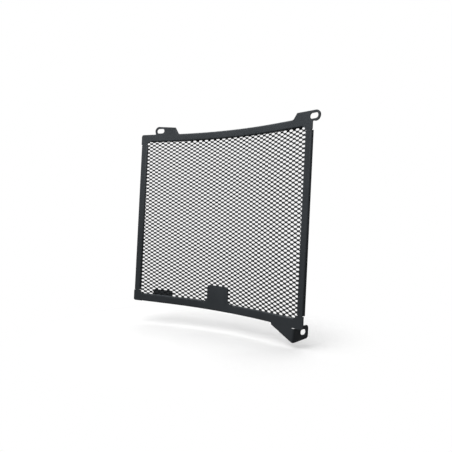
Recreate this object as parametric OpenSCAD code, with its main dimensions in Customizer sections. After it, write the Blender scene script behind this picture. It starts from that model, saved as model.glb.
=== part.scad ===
/* [Panel] */
// Width of the frame, measured along its curved front face
panel_w = 289; // [262:1:340]
// Height of the frame
panel_h = 254; // [200:1:300]
// Radius of the front face across its curved middle
bend_r = 395; // [320:5:460]
// Angle that the panel turns through between its two flat ends
bend_angle = 25; // [16:1:30]
// Radius of the frame's outer corners
corner_r = 3; // [1:0.5:5]

/* [Bars] */
// Thickness of the folded sheet
sheet_t = 1.5; // [1:0.1:2]
// Width of the left and right bars
side_bar_w = 10.5; // [8:0.5:16]
// Width of the top bar
top_bar_w = 11; // [8:0.5:16]
// Width of the bottom bar
bottom_bar_w = 11.5; // [8:0.5:16]
// Radius of the window's corners
window_r = 4; // [2:0.5:5]
// Depth of the folded edges, from the front face to their rear rim
edge_depth = 3.5; // [2.6:0.1:6]
// Inside radius of the folded edges
fold_r = 0.5; // [0.2:0.1:0.8]
// Length left unfolded at each corner of the window
corner_relief = 5; // [5:0.5:12]
// Width of the relief notch at each end of a fold
notch = 0.8; // [0.6:0.1:1.5]

/* [Mesh] */
// Length of one diamond of the mesh, along the panel
mesh_l = 30; // [24:1:40]
// Height of one diamond of the mesh
mesh_h = 16.4; // [13:0.2:22]
// Width of a strand
strand_w = 3; // [2:0.1:4]
// Length of the bond where two strands meet
bond_l = 7; // [4:0.5:9]
// Thickness of a strand
strand_t = 0.8; // [0.5:0.1:1.2]
// How far a strand's edge leans out of the middle of the sheet
strand_lean = 0.3; // [0.1:0.05:0.5]
// Distance from the frame's outer edge to the edge of the mesh
mesh_inset = 3; // [2.5:0.5:4]
// Gap between the folded edges and the mesh that lies on them
mesh_gap = 0.1; // [0.05:0.05:0.3]

/* [Mounting slots] */
// Width of the slots, for a 6 mm bolt
slot_w = 7; // [5:0.5:9]
// Length of the two upper slots
slot_l = 12.5; // [10:0.5:16]
// Metal left around an upper slot
slot_rim = 3; // [2:0.5:4]
// From the frame's left edge to the left slot's centre
left_slot_in = 33; // [20:1:50]
// From the frame's top edge up to the left slot's centre
left_slot_up = 5; // [4:0.5:10]
// From the frame's right edge out to the right slot's centre
right_slot_out = 2; // [0:0.5:8]
// From the frame's top edge up to the right slot's centre
right_slot_up = 0.5; // [0:0.5:4]
// Length of an ear, from its slot's centre to its sloping shoulder
ear_l = 25.5; // [18:0.5:32]
// Length of an ear's sloping shoulder
ear_slope = 5.5; // [3:0.5:10]
// Height of the left ear's shoulder over its slot's centre
left_shoulder = 4.4; // [3:0.1:6]
// Height of the right ear's shoulder over its slot's centre
right_shoulder = 6.8; // [5:0.1:8]

/* [Lower bracket] */
// From the frame's right edge to the start of the bracket
bracket_start = 50; // [35:1:60]
// From the frame's right edge to the bracket's fold
bracket_fold = 13.5; // [8:0.5:20]
// Drop of the bracket below the frame's bottom edge
bracket_drop = 18; // [16:0.2:24]
// Step down at the start of the bracket
bracket_step = 2; // [0.5:0.5:4]
// Inside radius of the bracket's fold
bracket_r = 1; // [0.5:0.25:2]
// Length of the flange that runs back from the fold
flange_l = 29; // [27:0.5:40]
// Rise of the flange along its length
flange_rise = 2.5; // [0:0.25:3]
// Radius of the flange's rear corners
flange_r = 4; // [1:0.5:6]
// From the front face back to the flange slot's centre
flange_slot_back = 19.5; // [14:0.5:20]
// From the frame's bottom edge down to the flange slot's centre
flange_slot_down = 6.9; // [6.5:0.1:10]
// Length of the flange's slot
flange_slot_l = 11; // [9:0.5:13]
// Height of the relief cut above the fold
relief_h = 1.2; // [0.8:0.1:2]

/* [Tabs] */
// Width of the plain tab in the middle of the bottom bar
tab_w = 35.5; // [24:0.5:50]
// Height of the plain tab above the bottom bar
tab_h = 23.5; // [16:0.5:40]
// Radius of the tab's upper corners
tab_r = 3.5; // [1:0.5:6]
// Radius where the tab runs out into the bar
tab_foot_r = 6; // [1:0.5:8]
// Width of the lug that folds up behind the mesh
lug_w = 33; // [20:1:40]
// From the frame's left edge to the lug
lug_in = 31; // [20:0.5:50]
// Height of the lug above the frame's bottom edge
lug_h = 19; // [14:0.5:26]
// Radius of the lug's upper corners
lug_r = 3; // [1:0.5:5]

/* [Hidden] */
$fn = 48;
frame_colour = "#3d4446";
mesh_colour = "#303436";
// Half sizes, the angle of one flat end and where the curve ends along the face
half_w = panel_w / 2;
half_h = panel_h / 2;
half_angle = bend_angle / 2;
arc_half = bend_r * half_angle * PI / 180;
// Window edges, as distances along the face and as heights
window_s = half_w - side_bar_w;
window_top = half_h - top_bar_w;
window_bottom = -half_h + bottom_bar_w;
// Outside radii of the two kinds of fold
fold_out = fold_r + sheet_t;
bracket_out = bracket_r + sheet_t;
// Where the straight folds end at the corners
fold_s = window_s - corner_relief;
fold_top = window_top - corner_relief;
fold_bottom = window_bottom + corner_relief;
// Centres of the slots
left_slot = [-half_w + left_slot_in, half_h + left_slot_up];
right_slot = [half_w + right_slot_out, half_h + right_slot_up];
flange_slot_z = -half_h - flange_slot_down;
// End circle of an upper slot, and the ear's outer radius round it
slot_end = (slot_l - slot_w) / 2;
ear_r = slot_w / 2 + slot_rim;
// Where the folds of the top edge stop beside the ears
fold_gap = 2;
top_fold_start = left_slot[0] + ear_l + ear_slope + fold_gap;
top_fold_end = right_slot[0] - ear_l - ear_slope - fold_gap;
// The bracket along the face
bracket_s = half_w - bracket_start;
bracket_fold_s = half_w - bracket_fold;
bracket_z = -half_h - bracket_drop;
// The lug along the face, and its depth behind the mesh
lug_s = -half_w + lug_in;
mesh_front = edge_depth + mesh_gap;
mesh_depth = strand_t + 2 * strand_lean;
lug_front = mesh_front + mesh_depth + mesh_gap;
lug_back = lug_front + sheet_t;
// How far each half of a run reaches past the middle before it is trimmed there
lap = 5;
// The bottom edge's fold ends a strip of plain bar before the bracket
bottom_fold_end = bracket_s - 2 * notch;
// The plain tab's blunt toes, its lap into the bottom bar, and half the stretch that it takes
toe = tab_foot_r / 4;
tab_lap = bottom_bar_w / 3;
tab_clear = tab_w / 2 + tab_foot_r + fold_gap;
// Spare length of cutting shapes, and how far the cuts reach past the sheet
spare = 1;
reach = 30;

// Angle round the bend for a distance along the front face
function turn(s) = s / bend_r * 180 / PI;
// Point at distance s along the front face, depth d behind it and height z
function on_panel(s, d, z) =
    let (a = max(-arc_half, min(arc_half, s)))
    let (rest = s - a)
    [(bend_r + d) * sin(turn(a)) + rest * cos(turn(a)),
     (bend_r + d) * cos(turn(a)) - bend_r - rest * sin(turn(a)),
     z];
// The part's origin: the left slot's centre, on the ear's rear face
origin = on_panel(left_slot[0], sheet_t, left_slot[1]);

// Puts the part's origin at the left slot
module from_left_slot() {
    translate(-origin)
        children();
}

// Frame of one flat end: x is distance along the face, y depth, z height
module at_end(side) {
    translate([0, -bend_r, 0])
        rotate([0, 0, -side * half_angle])
            translate([-side * arc_half, bend_r, 0])
                children();
}

// Mirrors its children across a direction where the side is negative
module on_side(side, direction) {
    if (side < 0)
        mirror(direction)
            children();
    else
        children();
}

// Sweeps a section, drawn as depth and height, over the right half and its flat end up to s1
module half_sweep(s1) {
    translate([0, -bend_r, 0])
        rotate([0, 0, -half_angle]) {
            rotate([0, 0, 90])
                rotate_extrude(angle = half_angle + turn(lap), $fn = 360)
                    translate([bend_r, 0])
                        children();
            if (s1 > arc_half)
                translate([0, bend_r, 0])
                    rotate([90, 0, 90])
                        linear_extrude(s1 - arc_half)
                            children();
        }
}

// Trims a sweep of the right half to the stretch from s0 to s1
module trimmed(s0, s1) {
    x0 = bend_r * sin(turn(s0));
    x1 = s1 < arc_half ? bend_r * sin(turn(s1)) : panel_w;
    intersection() {
        half_sweep(s1)
            children();
        translate([x0, -half_w, -panel_h])
            cube([x1 - x0, panel_w, 2 * panel_h]);
    }
}

// Runs a section along the face from s0 to s1; its two halves meet in the middle
module run(s0, s1) {
    if (s1 > 0)
        trimmed(max(s0, 0), s1)
            children();
    if (s0 < 0)
        mirror([1, 0, 0])
            trimmed(max(-s1, 0), -s0)
                children();
}

// Cuts an outline, drawn along the face and in height, through the sheet
module through() {
    translate([0, reach, 0])
        rotate([90, 0, 0])
            linear_extrude(2 * reach)
                children();
}

// Rectangle between two corners
module box(x0, y0, x1, y1) {
    translate([x0, y0])
        square([x1 - x0, y1 - y0]);
}

// Rectangle between two corners with all its corners rounded
module round_box(x0, y0, x1, y1, r) {
    box(x0 + r, y0, x1 - r, y1);
    box(x0, y0 + r, x1, y1 - r);
    for (x = [x0 + r, x1 - r], y = [y0 + r, y1 - r])
        translate([x, y])
            circle(r);
}

// Slot of the given length and width about its centre
module slot(l, w) {
    box(-(l - w) / 2, -w / 2, (l - w) / 2, w / 2);
    for (x = [-1, 1])
        translate([x * (l - w) / 2, 0])
            circle(w / 2);
}

// Quarter of a bent sheet about the origin, in the corner of positive x and negative y
module bend(r_in) {
    intersection() {
        difference() {
            circle(r_in + sheet_t);
            circle(r_in);
        }
        box(0, -r_in - 2 * sheet_t, r_in + 2 * sheet_t, 0);
    }
}

// Section of a folded edge: x runs outwards to the edge at zero, y is depth
module fold() {
    translate([-fold_out, fold_out])
        bend(fold_r);
    box(-sheet_t, fold_out, 0, edge_depth);
}

// Folded edge along the top or bottom of the frame or window
module long_fold(s0, s1, z, side) {
    run(s0, s1)
        translate([0, z])
            on_side(side, [0, 1])
                mirror([1, -1])
                    fold();
}

// Upright folded edge on a flat end, facing outwards or towards the window
module upright_fold(end, s, side) {
    at_end(end)
        translate([end * s, 0, fold_bottom])
            on_side(end * side, [1, 0, 0])
                linear_extrude(fold_top - fold_bottom)
                    fold();
}

// Strips that the folds and the notches at their ends take from the flat outline
module fold_strips() {
    box(top_fold_start - notch, half_h - fold_out, top_fold_end + notch, half_h + spare);
    box(-fold_s - notch, -half_h - spare, bottom_fold_end + notch, -half_h + fold_out);
    box(-fold_s - notch, window_top - spare, fold_s + notch, window_top + fold_out);
    box(-fold_s - notch, window_bottom - fold_out, -tab_clear + notch, window_bottom + spare);
    box(tab_clear - notch, window_bottom - fold_out, fold_s + notch, window_bottom + spare);
    for (side = [0, 1])
        mirror([side, 0]) {
            box(window_s - spare, fold_bottom - notch, window_s + fold_out, fold_top + notch);
            box(half_w - fold_out, fold_bottom - notch, half_w + spare, fold_top + notch);
        }
}

// The four bars
module bars() {
    difference() {
        round_box(-half_w, -half_h, half_w, half_h, corner_r);
        round_box(-window_s, window_bottom, window_s, window_top, window_r);
        fold_strips();
    }
}

// Plain tab on the bottom bar, with a hollow foot at each side
module tab() {
    foot = tab_w / 2 + tab_foot_r;
    base = window_bottom - tab_lap;
    round_box(-tab_w / 2, base, tab_w / 2, window_bottom + tab_h, tab_r);
    difference() {
        box(-foot + toe, base, foot - toe, window_bottom + tab_foot_r);
        for (side = [-1, 1])
            translate([side * foot, window_bottom + tab_foot_r])
                circle(tab_foot_r);
    }
}

// Ear with its slot's centre at the origin and its round end towards positive x
module ear(shoulder, up, foot) {
    base = -up - top_bar_w / 2;
    translate([slot_end, 0])
        circle(ear_r);
    polygon([[slot_end, ear_r], [-ear_l, shoulder], [-ear_l - ear_slope, -up],
             [-ear_l - ear_slope, base], [0, base], [slot_end, -ear_r]]);
    polygon([[0, 0], [slot_end + ear_r, 0], [slot_end + foot, -up], [0, -up - spare]]);
}

// Gusset of the lower bracket, up to its fold
module gusset() {
    edge = bracket_fold_s - bracket_out;
    polygon([[bracket_s, -half_h + bottom_bar_w / 2], [bracket_s, -half_h - bracket_step],
             [edge, bracket_z], [edge, -half_h - relief_h],
             [edge - relief_h, -half_h - relief_h], [edge - relief_h, -half_h],
             [edge - relief_h, -half_h + bottom_bar_w / 2]]);
}

// Outline with everything that the left end carries
module left_outline() {
    difference() {
        union() {
            bars();
            translate(left_slot)
                mirror([1, 0])
                    ear(left_shoulder, left_slot_up, ear_r - spare);
        }
        translate(left_slot)
            slot(slot_l, slot_w);
    }
}

// Outline with everything that the right end carries
module right_outline() {
    difference() {
        union() {
            bars();
            translate(right_slot)
                ear(right_shoulder, right_slot_up, 0);
            gusset();
        }
        translate(right_slot)
            slot(slot_l, slot_w);
    }
}

// Right half of the bent sheet, cut to the outline given
module half_face() {
    intersection() {
        run(0, half_w + reach)
            sheet_section();
        at_end(1)
            through()
                children();
    }
}

// Section of the flat sheet, taller than the frame
module sheet_section() {
    box(0, bracket_z - reach, sheet_t, half_h + reach);
}

// Front face of the frame, bent to the panel's curve
module face() {
    half_face()
        right_outline();
    mirror([1, 0, 0])
        half_face()
            mirror([1, 0])
                left_outline();
    intersection() {
        run(-tab_w, tab_w)
            sheet_section();
        through()
            tab();
    }
}

// All the folded edges round the frame and the window
module folds() {
    long_fold(top_fold_start, top_fold_end, half_h, 1);
    long_fold(-fold_s, bottom_fold_end, -half_h, -1);
    long_fold(-fold_s, fold_s, window_top, -1);
    long_fold(-fold_s, -tab_clear, window_bottom, 1);
    long_fold(tab_clear, fold_s, window_bottom, 1);
    for (end = [-1, 1]) {
        upright_fold(end, half_w, 1);
        upright_fold(end, window_s, -1);
    }
}

// Section of the lug: back under the mesh, then up behind it
module lug_section() {
    box(fold_out, -half_h, lug_back - fold_out, -half_h + sheet_t);
    translate([lug_back - fold_out, -half_h + fold_out])
        bend(fold_r);
    box(lug_front, -half_h + fold_out, lug_back, -half_h + lug_h);
}

// Lug with its upper corners rounded
module lug() {
    intersection() {
        run(lug_s, lug_s + lug_w)
            lug_section();
        at_end(-1)
            through() {
                box(lug_s, -half_h - lug_h, lug_s + lug_w, -half_h + lug_h - lug_r);
                round_box(lug_s, -half_h - lug_h, lug_s + lug_w, -half_h + lug_h, lug_r);
            }
    }
}

// Fold of the lower bracket, and the flange that runs back from it
module flange() {
    top = -half_h - relief_h;
    at_end(1) {
        translate([bracket_fold_s - bracket_out, bracket_out, bracket_z])
            linear_extrude(top - bracket_z)
                bend(bracket_r);
        translate([bracket_fold_s - sheet_t, 0, 0])
            rotate([90, 0, 90])
                linear_extrude(sheet_t)
                    flange_outline(top);
    }
}

// Outline of the flange: x is depth, y is height
module flange_outline(top) {
    difference() {
        union() {
            polygon([[bracket_out, bracket_z], [bracket_out, top],
                     [flange_l - flange_r, top + flange_rise],
                     [flange_l - flange_r, bracket_z + flange_rise]]);
            box(flange_l - 2 * flange_r, bracket_z + flange_rise + flange_r,
                flange_l, top + flange_rise - flange_r);
            for (z = [bracket_z + flange_rise + flange_r, top + flange_rise - flange_r])
                translate([flange_l - flange_r, z])
                    circle(flange_r);
        }
        translate([flange_slot_back, flange_slot_z])
            slot(flange_slot_l, slot_w);
    }
}

// Frame: one sheet, cut, folded and bent
module frame() {
    color(frame_colour)
        from_left_slot() {
            face();
            folds();
            lug();
            flange();
        }
}

// Size of the mesh, and of its pattern inside a plain margin
mesh_half_w = half_w - mesh_inset;
mesh_top = half_h - mesh_inset;
mesh_bottom = -half_h + mesh_inset;
pattern_half_w = window_s + spare;
pattern_top = window_top + spare;
pattern_bottom = window_bottom - spare;
// Whole diamonds along the panel, and strands up it
columns = round(2 * pattern_half_w / mesh_l);
strands = round(2 * (pattern_top - pattern_bottom) / mesh_h);
pitch_l = 2 * pattern_half_w / columns;
strand_pitch = (pattern_top - pattern_bottom) / strands;
mesh_middle = mesh_front + mesh_depth / 2;
// Stations along the panel: the edge, the margin, four to a diamond, margin and edge
last_station = 4 * columns + 1;

// Distance along the face of a station
function station_s(j) =
    j == 0 ? -mesh_half_w :
    j == last_station ? mesh_half_w :
    let (n = j - 1)
    let (half_cell = floor((n + 1) / 2))
    let (at = -pattern_half_w + half_cell * pitch_l / 2)
    n == 0 || j == last_station - 1 ? at :
    at + ((n % 2 == 1) ? -bond_l / 2 : bond_l / 2);
// Strands i - 1 and i are bonded where this station falls on their bond
function bonded(i, j) =
    j <= 1 || j >= last_station - 1 ||
    floor(j / 2) % 2 == i % 2;
// Height of the lower edge (e = 0) or upper edge (e = 1) of strand i
function edge_z(i, e, j) =
    let (k = i + e)
    let (line = pattern_bottom + k * strand_pitch)
    k == 0 ? mesh_bottom :
    k == strands ? mesh_top :
    bonded(k, j) ? line :
    e == 0 ? line + strand_pitch - strand_w : line - strand_pitch + strand_w;
// Lean of that edge out of the middle of the sheet, forwards at the upper edge
function edge_lean(i, e, j) =
    let (k = i + e)
    k == 0 || k == strands || bonded(k, j) ? 0 :
    e == 0 ? strand_lean : -strand_lean;
// Point of strand i on its front (f = 0) or rear (f = 1)
function strand_point(i, e, j, f) =
    on_panel(station_s(j),
             mesh_middle + edge_lean(i, e, j) + (f - 0.5) * strand_t,
             edge_z(i, e, j));
// Index of that point; bonded strands share theirs
function at(i, e, j, f) =
    let (shared = e == 0 && i > 0 && bonded(i, j))
    let (a = shared ? i - 1 : i)
    let (b = shared ? 1 : e)
    ((j * strands + a) * 2 + b) * 2 + f;
// Two triangles on four corners
function quad(a, b, c, d) = [[a, b, c], [a, c, d]];

// Mesh: one sheet of expanded metal, bent to the panel's curve
module mesh() {
    points = [for (j = [0:last_station], i = [0:strands - 1], e = [0, 1], f = [0, 1])
        strand_point(i, e, j, f)];
    fronts = [for (j = [0:last_station - 1], i = [0:strands - 1])
        each quad(at(i, 0, j, 0), at(i, 1, j, 0), at(i, 1, j + 1, 0), at(i, 0, j + 1, 0))];
    backs = [for (j = [0:last_station - 1], i = [0:strands - 1])
        each quad(at(i, 0, j, 1), at(i, 0, j + 1, 1), at(i, 1, j + 1, 1), at(i, 1, j, 1))];
    lower_walls = [for (j = [0:last_station - 1], i = [0:strands - 1])
        if (i == 0 || !(bonded(i, j) && bonded(i, j + 1)))
            each quad(at(i, 0, j, 0), at(i, 0, j + 1, 0), at(i, 0, j + 1, 1), at(i, 0, j, 1))];
    upper_walls = [for (j = [0:last_station - 1], i = [0:strands - 1])
        if (i == strands - 1 || !(bonded(i + 1, j) && bonded(i + 1, j + 1)))
            each quad(at(i, 1, j, 0), at(i, 1, j, 1), at(i, 1, j + 1, 1), at(i, 1, j + 1, 0))];
    left_ends = [for (i = [0:strands - 1])
        each quad(at(i, 0, 0, 0), at(i, 0, 0, 1), at(i, 1, 0, 1), at(i, 1, 0, 0))];
    right_ends = [for (i = [0:strands - 1], j = [last_station])
        each quad(at(i, 0, j, 0), at(i, 1, j, 0), at(i, 1, j, 1), at(i, 0, j, 1))];
    color(mesh_colour)
        from_left_slot()
            polyhedron(points, concat(fronts, backs, lower_walls, upper_walls,
                                      left_ends, right_ends));
}

frame();
mesh();
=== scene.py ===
import math
import bmesh
import bpy
from mathutils import Matrix, Vector


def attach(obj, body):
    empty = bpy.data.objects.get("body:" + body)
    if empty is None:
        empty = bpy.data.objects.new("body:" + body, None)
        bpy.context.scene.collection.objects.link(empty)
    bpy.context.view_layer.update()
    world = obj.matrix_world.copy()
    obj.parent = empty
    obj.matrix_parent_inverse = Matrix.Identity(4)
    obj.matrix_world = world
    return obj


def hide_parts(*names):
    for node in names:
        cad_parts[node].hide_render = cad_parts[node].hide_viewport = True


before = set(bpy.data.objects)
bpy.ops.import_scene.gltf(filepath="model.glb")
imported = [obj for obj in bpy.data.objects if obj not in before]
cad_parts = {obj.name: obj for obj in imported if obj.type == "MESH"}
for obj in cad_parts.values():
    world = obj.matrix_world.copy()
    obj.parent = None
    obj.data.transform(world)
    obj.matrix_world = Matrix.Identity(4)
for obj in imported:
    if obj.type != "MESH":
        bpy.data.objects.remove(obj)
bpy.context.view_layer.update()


# The frame: one sheet of steel, cut by laser, folded round its outside and round the window, and bent
# to the radiator's curve. A satin black powder coat covers it and rounds every cut edge a little.
class Wire:
    """A node's output socket, so that shader maths reads as a sum."""

    def __init__(self, tree, socket):
        self.tree = tree
        self.socket = socket

    def maths(self, operation, first, second):
        return make_node(self.tree, "ShaderNodeMath", {"operation": operation}, _0=first, _1=second)

    def __add__(self, other):
        return self.maths("ADD", self, other)

    def __radd__(self, other):
        return self.maths("ADD", other, self)

    def __sub__(self, other):
        return self.maths("SUBTRACT", self, other)

    def __rsub__(self, other):
        return self.maths("SUBTRACT", other, self)

    def __mul__(self, other):
        return self.maths("MULTIPLY", self, other)

    def __rmul__(self, other):
        return self.maths("MULTIPLY", other, self)

    def between(self, low, high):
        """0 at low, 1 at high, smooth in between."""
        return make_node(self.tree, "ShaderNodeMapRange", {"interpolation_type": "SMOOTHSTEP"},
                         Value=self, From_Min=low, From_Max=high)


def make_node(tree, kind, settings=None, out=0, **values):
    """Adds a node, applies its settings, fills its sockets with values or wires, and gives one output.

    A socket is given by its name with _ for a space, or as _0, _1 and so on by its place."""
    node = tree.nodes.new(kind)
    for name, value in (settings or {}).items():
        setattr(node, name, value)
    for name, value in values.items():
        socket = node.inputs[int(name[1:])] if name[0] == "_" else node.inputs[name.replace("_", " ")]
        if isinstance(value, Wire):
            tree.links.new(value.socket, socket)
        else:
            socket.default_value = value
    return Wire(tree, node.outputs[out])


def powder_coat(name, deep, pale, roughness, peel, gloss):
    """Satin powder coat: slow changes of tone, the powder's specks and the skin's orange peel."""
    # the noises' scales, in cells a metre, and how much each does
    slow_scale = 14.0
    speck_scale = 2600.0
    skin_scale = 780.0
    speck_tone = 0.3
    speck_bump = 0.2
    slow_roughness = 0.10
    speck_roughness = 0.12

    material = bpy.data.materials.new(name)
    material.use_nodes = True
    tree = material.node_tree
    shader = tree.nodes["Principled BSDF"]
    spot = make_node(tree, "ShaderNodeTexCoord", out=3)

    def noise(scale, detail, grit):
        return make_node(tree, "ShaderNodeTexNoise", {"noise_dimensions": "3D"},
                         Vector=spot, Scale=scale, Detail=detail, Roughness=grit)

    slow = noise(slow_scale, 3.0, 0.5)
    specks = noise(speck_scale, 2.0, 0.6)
    skin = noise(skin_scale, 2.0, 0.45)
    tone = slow.between(0.3, 0.7) * (1 - speck_tone) + specks.between(0.35, 0.75) * speck_tone
    colour = make_node(tree, "ShaderNodeMix", {"data_type": "RGBA"}, out=2, _0=tone, _6=deep, _7=pale)
    tree.links.new(colour.socket, shader.inputs["Base Color"])
    rough = roughness + (slow - 0.5) * slow_roughness + (specks - 0.5) * speck_roughness
    tree.links.new(rough.socket, shader.inputs["Roughness"])
    bump = make_node(tree, "ShaderNodeBump", Strength=1.0, Distance=peel,
                     Height=skin * (1 - speck_bump) + specks * speck_bump)
    tree.links.new(bump.socket, shader.inputs["Normal"])
    shader.inputs["Specular IOR Level"].default_value = gloss
    return material


same_point = 1e-6
same_plane = math.radians(0.05)
cut_edge_from = math.radians(40)
cut_edge_r = 0.00022
frame_coat = powder_coat("frame_coat", deep=(0.0295, 0.0328, 0.0361, 1.0),
                         pale=(0.0413, 0.0459, 0.0504, 1.0), roughness=0.46, peel=0.000016,
                         gloss=0.045)

# the source's triangles, joined up again into the sheet's flat and curved faces
cad_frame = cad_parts["frame"]
sheet = bmesh.new()
sheet.from_mesh(cad_frame.data)
bmesh.ops.remove_doubles(sheet, verts=sheet.verts, dist=same_point)
bmesh.ops.dissolve_limit(sheet, angle_limit=same_plane, verts=sheet.verts, edges=sheet.edges,
                         delimit={"NORMAL"})
sheet_mesh = bpy.data.meshes.new("guard_frame")
sheet.to_mesh(sheet_mesh)
sheet.free()
guard_frame = bpy.data.objects.new("guard_frame", sheet_mesh)
bpy.context.scene.collection.objects.link(guard_frame)
sheet_mesh.materials.clear()
sheet_mesh.materials.append(frame_coat)
coat_edge = guard_frame.modifiers.new("coat_edge", "BEVEL")
coat_edge.width = cut_edge_r
coat_edge.segments = 2
coat_edge.limit_method = "ANGLE"
coat_edge.angle_limit = cut_edge_from
coat_edge.harden_normals = False
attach(guard_frame, "root")
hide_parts("frame")


# The mesh: one sheet of raised expanded metal. Rows of slits are stretched into diamonds, so each bond
# tips its upper edge back. It is sheared to size, bent to the frame and welded to the folds' rims.
long_pitch = 0.010
short_pitch = 0.0054523
bond_columns = 33
bond_rows = 51
strand = 0.00140
bond_half = 0.0019
gauge = 0.00072
# how far a strand's upper edge leans back over its width, and how far its cut edges are rounded off
lean = 0.00025
crown = 0.00006
# the lattice lies a little askew on the panel, by these angles and from this middle
lattice_tilt = 0.0169223
lattice_skew = 0.0147389
lattice_shift = (0.0089118, -0.0095272)
mesh_half_w = 0.1415
mesh_half_h = 0.124
# from the front face back to the middle of the mesh
mesh_depth = 0.0043
bend_r = 0.395
bend_half = math.radians(12.5)
# the CAD origin, the left slot, in the panel's own coordinates
panel_origin = Vector((-0.1105424, -0.0133798, 0.132))
seam = 2e-6


def bond_and_arms():
    """One bond with the four half strands that leave it, closed but for the strands' ends."""
    hair = 1e-7
    quarter = long_pitch / 4
    rise = (short_pitch / 2 - strand) / 2
    verts, index, faces = [], {}, []

    def point(x, y, middle, side):
        """The number of a point, which neighbours share, on the front (-1) or the back (1)."""
        key = (round(x, 7), round(y, 7), side)
        if key not in index:
            at_edge = abs(abs(y - middle) - strand / 2) < hair
            proud = gauge / 2 - (crown if at_edge else 0)
            tip = lean * (y if abs(x) < bond_half + hair else y - middle) / strand
            index[key] = len(verts)
            verts.append((x, y, tip + side * proud))
        return index[key]

    def ribbon(xa, ya, xb, yb, walls):
        """A stretch of strand between two stations, with its middle line raised."""
        stations = []
        for x, y in ((xa, ya), (xb, yb)):
            middle = y + strand / 2
            stations.append([[point(x, y + strand * step / 2, middle, side) for step in range(3)]
                             for side in (-1, 1)])
        (front_a, back_a), (front_b, back_b) = stations
        for step in range(2):
            faces.append((front_a[step], front_b[step], front_b[step + 1], front_a[step + 1]))
            faces.append((back_a[step], back_a[step + 1], back_b[step + 1], back_b[step]))
        if "low" in walls:
            faces.append((front_a[0], back_a[0], back_b[0], front_b[0]))
        if "high" in walls:
            faces.append((front_a[2], front_b[2], back_b[2], back_a[2]))

    ribbon(-bond_half, 0, bond_half, 0, ("high",))
    ribbon(-bond_half, -strand, bond_half, -strand, ("low",))
    both = ("low", "high")
    ribbon(bond_half, 0, quarter, rise, both)
    ribbon(-quarter, rise, -bond_half, 0, both)
    ribbon(bond_half, -strand, quarter, -rise - strand, both)
    ribbon(-quarter, -rise - strand, -bond_half, -strand, both)
    mesh = bpy.data.meshes.new("bond")
    mesh.from_pydata(verts, [], faces)
    return bpy.data.objects.new("bond", mesh)


def lattice_tree():
    """Sets a bond on every point of two grids, one a half pitch off the other."""
    tree = bpy.data.node_groups.new("expanded_metal", "GeometryNodeTree")
    sockets = {}
    for name, kind in (("Bond", "NodeSocketObject"), ("Long pitch", "NodeSocketFloat"),
                       ("Short pitch", "NodeSocketFloat"), ("Columns", "NodeSocketInt"),
                       ("Rows", "NodeSocketInt"), ("Material", "NodeSocketMaterial")):
        sockets[name] = tree.interface.new_socket(name, in_out="INPUT", socket_type=kind).identifier
    tree.interface.new_socket("Geometry", in_out="OUTPUT", socket_type="NodeSocketGeometry")
    given = tree.nodes.new("NodeGroupInput")
    taken = tree.nodes.new("NodeGroupOutput")

    def value(name):
        return Wire(tree, given.outputs[name])

    def span(pitch, count):
        return value(pitch) * (value(count) - 1)

    grid = make_node(tree, "GeometryNodeMeshGrid", Size_X=span("Long pitch", "Columns"),
                     Size_Y=span("Short pitch", "Rows"), Vertices_X=value("Columns"),
                     Vertices_Y=value("Rows"))
    half_step = make_node(tree, "ShaderNodeCombineXYZ", X=value("Long pitch") * 0.5,
                          Y=value("Short pitch") * 0.5, Z=0.0)
    shifted = make_node(tree, "GeometryNodeTransform", Geometry=grid, Translation=half_step)
    both_grids = tree.nodes.new("GeometryNodeJoinGeometry")
    for part in (grid, shifted):
        tree.links.new(part.socket, both_grids.inputs[0])
    bond = make_node(tree, "GeometryNodeObjectInfo", out=4, Object=value("Bond"))
    placed = make_node(tree, "GeometryNodeInstanceOnPoints", Points=Wire(tree, both_grids.outputs[0]),
                       Instance=bond)
    real = make_node(tree, "GeometryNodeRealizeInstances", Geometry=placed)
    painted = make_node(tree, "GeometryNodeSetMaterial", Geometry=real, Material=value("Material"))
    tree.links.new(painted.socket, taken.inputs[0])
    return tree, sockets


mesh_coat = powder_coat("mesh_coat", deep=(0.0165, 0.0185, 0.0198, 1.0),
                        pale=(0.0240, 0.0262, 0.0278, 1.0), roughness=0.52, peel=0.000012,
                        gloss=0.040)
bond_object = bond_and_arms()
bpy.context.scene.collection.objects.link(bond_object)
carrier = bpy.data.objects.new("lattice", bpy.data.meshes.new("lattice"))
bpy.context.scene.collection.objects.link(carrier)
lattice, inputs = lattice_tree()
stretch = carrier.modifiers.new("stretch", "NODES")
stretch.node_group = lattice
for name, setting in (("Bond", bond_object), ("Long pitch", long_pitch), ("Short pitch", short_pitch),
                      ("Columns", bond_columns), ("Rows", bond_rows), ("Material", mesh_coat)):
    stretch[inputs[name]] = setting
carrier.update_tag()
drawn = carrier.evaluated_get(bpy.context.evaluated_depsgraph_get())
flat_mesh = bpy.data.meshes.new_from_object(drawn)
bpy.data.objects.remove(carrier)
bpy.data.objects.remove(bond_object)

wire = bmesh.new()
wire.from_mesh(flat_mesh)
bmesh.ops.remove_doubles(wire, verts=wire.verts, dist=seam)
# turned to how it lies on the panel: a is along the long way, b up the short way
tilt_a = lattice_tilt
tilt_b = lattice_tilt + lattice_skew
for vert in wire.verts:
    a, b, out = vert.co
    b -= short_pitch / 2
    vert.co = (a * math.cos(tilt_a) - b * math.sin(tilt_b) + lattice_shift[0],
               a * math.sin(tilt_a) + b * math.cos(tilt_b) + lattice_shift[1], out)
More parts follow.
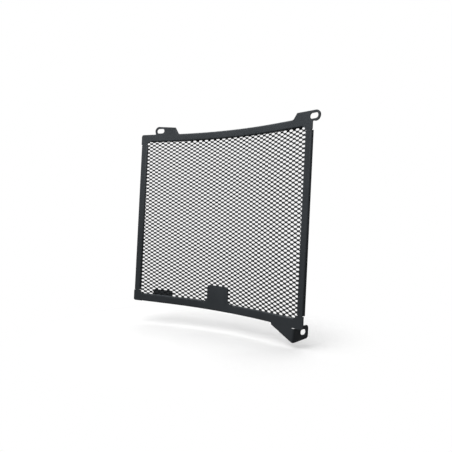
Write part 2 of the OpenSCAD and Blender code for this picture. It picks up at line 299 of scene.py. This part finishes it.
# sheared off along the four sides, and each cut strand closed
edge_p = mesh_half_w + mesh_depth * bend_half
for normal, edge in (((1, 0, 0), edge_p), ((-1, 0, 0), edge_p),
                     ((0, 1, 0), mesh_half_h), ((0, -1, 0), mesh_half_h)):
    cut = bmesh.ops.bisect_plane(wire, geom=wire.verts[:] + wire.edges[:] + wire.faces[:],
                                 plane_co=Vector(normal) * edge, plane_no=normal, clear_outer=True)
    rim = [item for item in cut["geom_cut"] if isinstance(item, bmesh.types.BMEdge)]
    bmesh.ops.holes_fill(wire, edges=rim, sides=0)
# bent to the panel: p is the length along the middle of the sheet
radius = bend_r + mesh_depth
for vert in wire.verts:
    p, z, out = vert.co
    turn = max(-bend_half, min(bend_half, p / radius))
    straight = p - turn * radius
    reach = radius + out
    vert.co = Vector((reach * math.sin(turn) + straight * math.cos(turn),
                      reach * math.cos(turn) - bend_r - straight * math.sin(turn), z)) - panel_origin
bmesh.ops.recalc_face_normals(wire, faces=wire.faces)
for face in wire.faces:
    face.material_index = 0
guard_mesh_data = bpy.data.meshes.new("guard_mesh")
wire.to_mesh(guard_mesh_data)
wire.free()
guard_mesh_data.materials.append(mesh_coat)
guard_mesh = bpy.data.objects.new("guard_mesh", guard_mesh_data)
bpy.context.scene.collection.objects.link(guard_mesh)
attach(guard_mesh, "root")
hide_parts("mesh")


# The camera: at the guard's mid-height, 35 degrees round to its right, and rolled as the photograph
# leans. Its place and focal length are those that fit the grille's cells.
picture_px = 452
focal_px = 457.618
yaw, pitch, roll = 0.6155634, -0.0089244, 0.0489442
# the panel's centre as the camera has it, with x to the right, y down and z ahead, in metres
panel_seen_at = Vector((-7.0420576, -7.7289125, 641.625031)) / 1000
turn_y = Matrix(((math.cos(yaw), 0, math.sin(yaw)), (0, 1, 0), (-math.sin(yaw), 0, math.cos(yaw))))
turn_x = Matrix(((1, 0, 0), (0, math.cos(pitch), -math.sin(pitch)),
                 (0, math.sin(pitch), math.cos(pitch))))
turn_z = Matrix(((math.cos(roll), -math.sin(roll), 0), (math.sin(roll), math.cos(roll), 0),
                 (0, 0, 1)))
to_down = Matrix(((1, 0, 0), (0, 0, -1), (0, 1, 0)))
to_camera = turn_z @ turn_x @ turn_y @ to_down
camera_place = -(to_camera.transposed() @ panel_seen_at) - panel_origin
# Blender's camera has y up and looks along -z
to_blender = Matrix(((1, 0, 0), (0, -1, 0), (0, 0, -1)))
camera_turn = (to_blender @ to_camera).transposed().to_quaternion()
lens = bpy.data.cameras.new("camera")
lens.sensor_width = 36.0
lens.lens = focal_px / picture_px * lens.sensor_width
lens.clip_start = 0.01
lens.clip_end = 50
camera = bpy.data.objects.new("camera", lens)
camera.matrix_world = Matrix.LocRotScale(camera_place, camera_turn, None)
bpy.context.scene.collection.objects.link(camera)
bpy.context.scene.camera = camera


# The studio: a white floor just under the bracket, level in the photograph. To the camera and in
# reflections the floor and the world are white; the soft boxes above cast the pale, wide shadow.
def share_seen(tree):
    """1 for the rays that see the studio itself, 0 for those that light the guard."""
    rays = make_node(tree, "ShaderNodeLightPath").socket.node.outputs
    seeing = (Wire(tree, rays["Is Camera Ray"]) + Wire(tree, rays["Is Glossy Ray"])
              + Wire(tree, rays["Is Transmission Ray"]))
    return make_node(tree, "ShaderNodeMath", {"operation": "MINIMUM"}, _0=seeing, _1=1.0)


view_right = to_camera.transposed() @ Vector((1, 0, 0))
view_up = to_camera.transposed() @ Vector((0, -1, 0))
view_on = to_camera.transposed() @ Vector((0, 0, 1))
# the guard's middle, straight ahead of the camera, and the floor below it
stand_off = 0.64
floor_drop = 0.1475
floor_half = 8
guard_middle = camera_place + view_on * stand_off
floor_middle = guard_middle - view_up * floor_drop
# the paint fades out away from the guard, where the floor is a plain white glow
paint_seen, paint_bounced, near_glow = 0.46, 0.13, 0.16
shadow_reach, white_from = 0.12, 0.24
shadow_middle = floor_middle - view_right * 0.03

floor_white = bpy.data.materials.new("floor_white")
floor_white.use_nodes = True
paint_tree = floor_white.node_tree
paint_tree.nodes.remove(paint_tree.nodes["Principled BSDF"])
floor_spot = make_node(paint_tree, "ShaderNodeTexCoord", out=3)
away = make_node(paint_tree, "ShaderNodeVectorMath", {"operation": "DISTANCE"}, out=1,
                 _0=floor_spot, _1=tuple(shadow_middle))
far = away.between(shadow_reach, white_from)
seen = share_seen(paint_tree)
paint = make_node(paint_tree, "ShaderNodeBsdfDiffuse",
                  Color=(1 - far) * (paint_bounced + seen * (paint_seen - paint_bounced)))
glow = make_node(paint_tree, "ShaderNodeEmission", Color=(1, 1, 1, 1),
                 Strength=seen * (near_glow + far * (1 - near_glow)))
paint_and_glow = make_node(paint_tree, "ShaderNodeAddShader", _0=paint, _1=glow)
paint_tree.links.new(paint_and_glow.socket, paint_tree.nodes["Material Output"].inputs["Surface"])
floor_sheet = bpy.data.meshes.new("floor")
floor_corners = ((-floor_half, -floor_half), (floor_half, -floor_half),
                 (floor_half, floor_half), (-floor_half, floor_half))
floor_sheet.from_pydata([tuple(floor_middle + view_right * x + view_on * y) for x, y in floor_corners],
                        [], [(0, 1, 2, 3)])
floor_sheet.materials.append(floor_white)
floor = bpy.data.objects.new("floor", floor_sheet)
bpy.context.scene.collection.objects.link(floor)

sky_light = 0.16
world = bpy.data.worlds.new("studio")
bpy.context.scene.world = world
world.use_nodes = True
sky = world.node_tree
sky_strength = sky_light + share_seen(sky) * (1 - sky_light)
sky.links.new(sky_strength.socket, sky.nodes["Background"].inputs["Strength"])
sky.nodes["Background"].inputs["Color"].default_value = (1, 1, 1, 1)


def soft_box(name, offset, width, depth, watts, down=False):
    """A lamp at an offset from the guard's middle, along the view's right, up and on."""
    light = bpy.data.lights.new(name, "AREA")
    light.shape = "RECTANGLE"
    light.size = width
    light.size_y = depth
    light.energy = watts
    box = bpy.data.objects.new(name, light)
    here = guard_middle + view_right * offset[0] + view_up * offset[1] + view_on * offset[2]
    back = view_up if down else (here - guard_middle).normalized()
    side = view_right if down else view_up.cross(back).normalized()
    facing = Matrix((side, back.cross(side), back)).transposed()
    box.matrix_world = Matrix.LocRotScale(here, facing.to_quaternion(), None)
    bpy.context.scene.collection.objects.link(box)


soft_box("overhead", (-0.10, 0.60, -0.03), width=0.75, depth=0.50, watts=6.8, down=True)
soft_box("front_top", (-0.30, 0.40, -0.35), width=0.40, depth=0.30, watts=2.8)
soft_box("rear", (0.10, 0.65, 0.60), width=1.40, depth=1.10, watts=12.0)

bpy.context.scene.view_settings.view_transform = "Standard"
